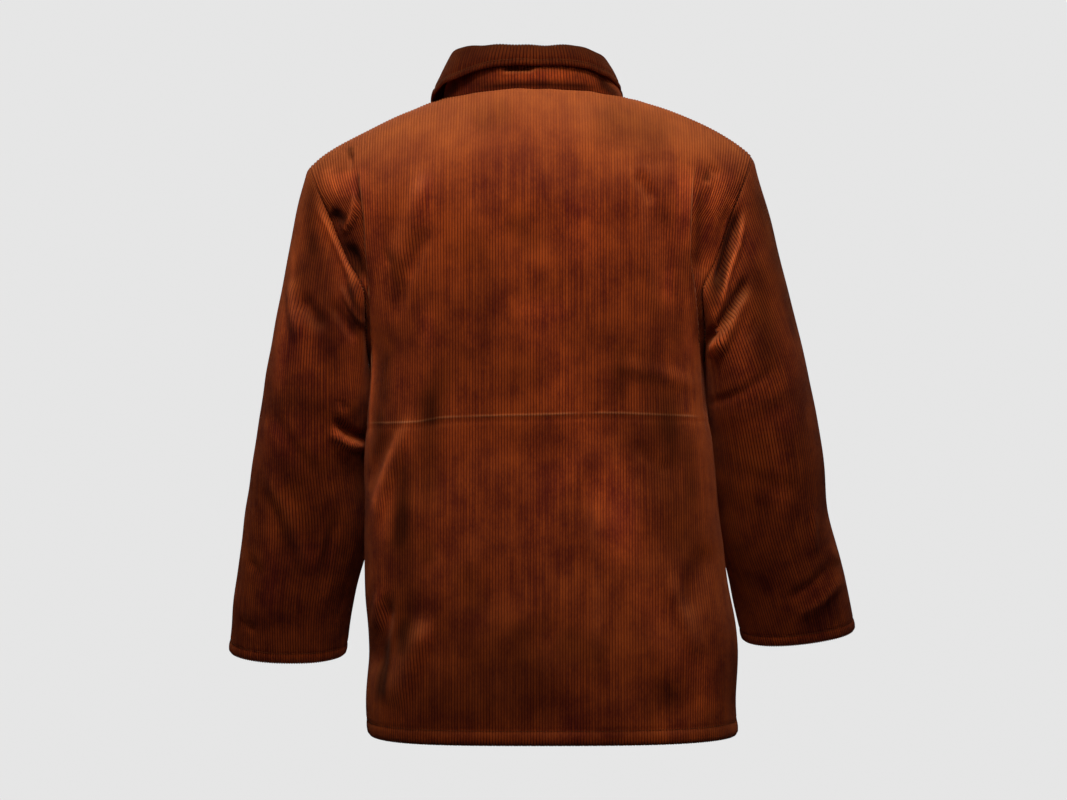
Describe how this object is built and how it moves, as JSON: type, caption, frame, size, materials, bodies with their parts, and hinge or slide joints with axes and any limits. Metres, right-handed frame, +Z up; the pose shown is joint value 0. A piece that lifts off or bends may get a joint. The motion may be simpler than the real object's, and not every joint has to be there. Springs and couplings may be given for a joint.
{
  "type": "padded jacket",
  "caption": "Straight corduroy jacket with set-in sleeves and a shirt collar, buttoned and filled out as worn, with no wearer.",
  "frame": {"origin": "between the two side neck points, at the height where the shoulder seams meet the neck seam", "axes": "+Z up, the jacket's front faces -Y, +X towards the wearer's left"},
  "size_m": [0.742, 0.3357, 0.7707],
  "materials": {
    "corduroy": "wide-wale cotton corduroy, rust brown, soft pile with a slight sheen",
    "buttons": "dark brown, lightly polished"
  },
  "bodies": {
    "root": {"back": "corduroy", "front_left": "corduroy", "front_right": "corduroy", "sleeve_left": "corduroy", "sleeve_right": "corduroy", "collar_stand": "corduroy", "collar_leaf": "corduroy", "button_1": "buttons", "button_2": "buttons", "button_3": "buttons", "button_4": "buttons", "button_5": "buttons"}
  },
  "joints": []
}
